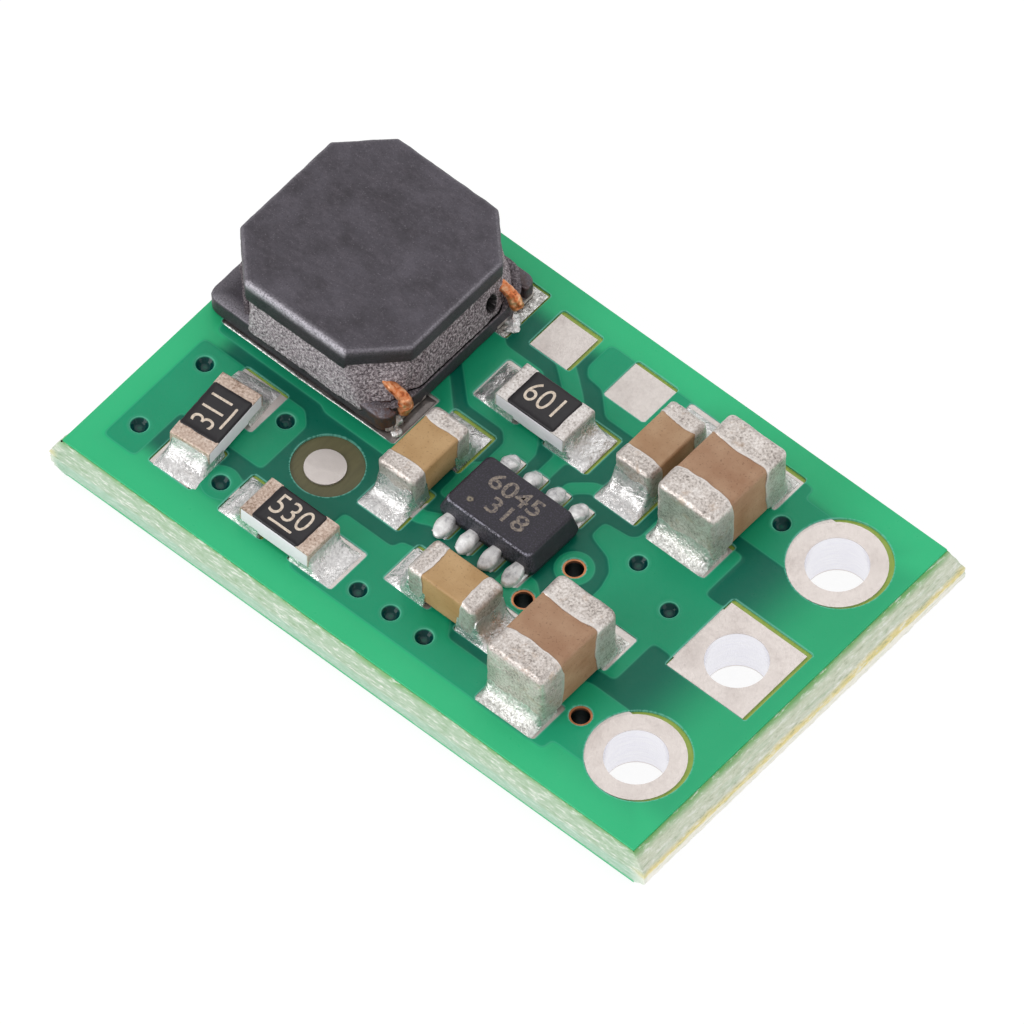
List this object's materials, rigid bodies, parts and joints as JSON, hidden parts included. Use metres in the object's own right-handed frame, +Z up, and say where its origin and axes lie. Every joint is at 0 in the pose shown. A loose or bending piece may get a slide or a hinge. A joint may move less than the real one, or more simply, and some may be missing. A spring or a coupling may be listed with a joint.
{
  "type": "boost converter module",
  "caption": "Small green circuit board for stepping a voltage up, with a squat inductor at one end, chip parts in the middle and a row of plated holes at the other end.",
  "frame": {"origin": "middle of the board's underside, below the middle of the bounding box", "axes": "+X along the board towards the row of plated holes, +Y across it, +Z up out of the side with the parts"},
  "size_m": [0.013, 0.008, 0.0026],
  "materials": {
    "laminate": "raw glass-fibre edge, fibres showing",
    "copper": "bare copper, dull",
    "tinned_pad": "immersion-tinned copper, matt",
    "solder_mask": "green lacquer, satin gloss",
    "ceramic_tan": "fired ceramic, smooth",
    "ceramic_brown": "fired ceramic, smooth",
    "alumina": "white alumina",
    "overcoat": "black glaze",
    "end_metal": "matt tin plating, mottled",
    "resistor_metal": "matt tin plating, warm",
    "mould_compound": "moulded epoxy, fine grain",
    "lead_metal": "matt tin plating",
    "ferrite": "pressed ferrite, charcoal",
    "resin": "powder-filled epoxy, grainy",
    "magnet_wire": "enamelled copper wire",
    "solder": "bright reflowed solder"
  },
  "bodies": {
    "root": {"capacitor_1_ceramic": "ceramic_tan", "capacitor_1_end_a": "end_metal", "capacitor_1_end_b": "end_metal", "capacitor_2_ceramic": "ceramic_tan", "capacitor_2_end_a": "end_metal", "capacitor_2_end_b": "end_metal", "capacitor_3_ceramic": "ceramic_tan", "capacitor_3_end_a": "end_metal", "capacitor_3_end_b": "end_metal", "capacitor_4_ceramic": "ceramic_brown", "capacitor_4_end_a": "end_metal", "capacitor_4_end_b": "end_metal", "capacitor_5_ceramic": "ceramic_brown", "capacitor_5_end_a": "end_metal", "capacitor_5_end_b": "end_metal", "controller_body": "mould_compound", "controller_lead_1": "lead_metal", "controller_lead_2": "lead_metal", "controller_lead_3": "lead_metal", "controller_lead_4": "lead_metal", "controller_lead_5": "lead_metal", "controller_lead_6": "lead_metal", "controller_lead_7": "lead_metal", "controller_lead_8": "lead_metal", "copper_bottom": "copper", "copper_top": "copper", "hole_round_1": "tinned_pad", "hole_round_2": "tinned_pad", "hole_square": "tinned_pad", "inductor_core": "ferrite", "inductor_resin": "resin", "inductor_terminal_a": "end_metal", "inductor_terminal_b": "end_metal", "inductor_wire": "magnet_wire", "laminate": "laminate", "resistor_1_end_a": "resistor_metal", "resistor_1_end_b": "resistor_metal", "resistor_1_overcoat": "overcoat", "resistor_1_substrate": "alumina", "resistor_2_end_a": "resistor_metal", "resistor_2_end_b": "resistor_metal", "resistor_2_overcoat": "overcoat", "resistor_2_substrate": "alumina", "resistor_3_end_a": "resistor_metal", "resistor_3_end_b": "resistor_metal", "resistor_3_overcoat": "overcoat", "resistor_3_substrate": "alumina", "solder_capacitor_1": "solder", "solder_capacitor_2": "solder", "solder_capacitor_3": "solder", "solder_capacitor_4": "solder", "solder_capacitor_5": "solder", "solder_controller": "solder", "solder_inductor": "solder", "solder_mask_bottom": "solder_mask", "solder_mask_top": "solder_mask", "solder_resistor_1": "solder", "solder_resistor_2": "solder", "solder_resistor_3": "solder", "vias": "copper"}
  },
  "joints": []
}
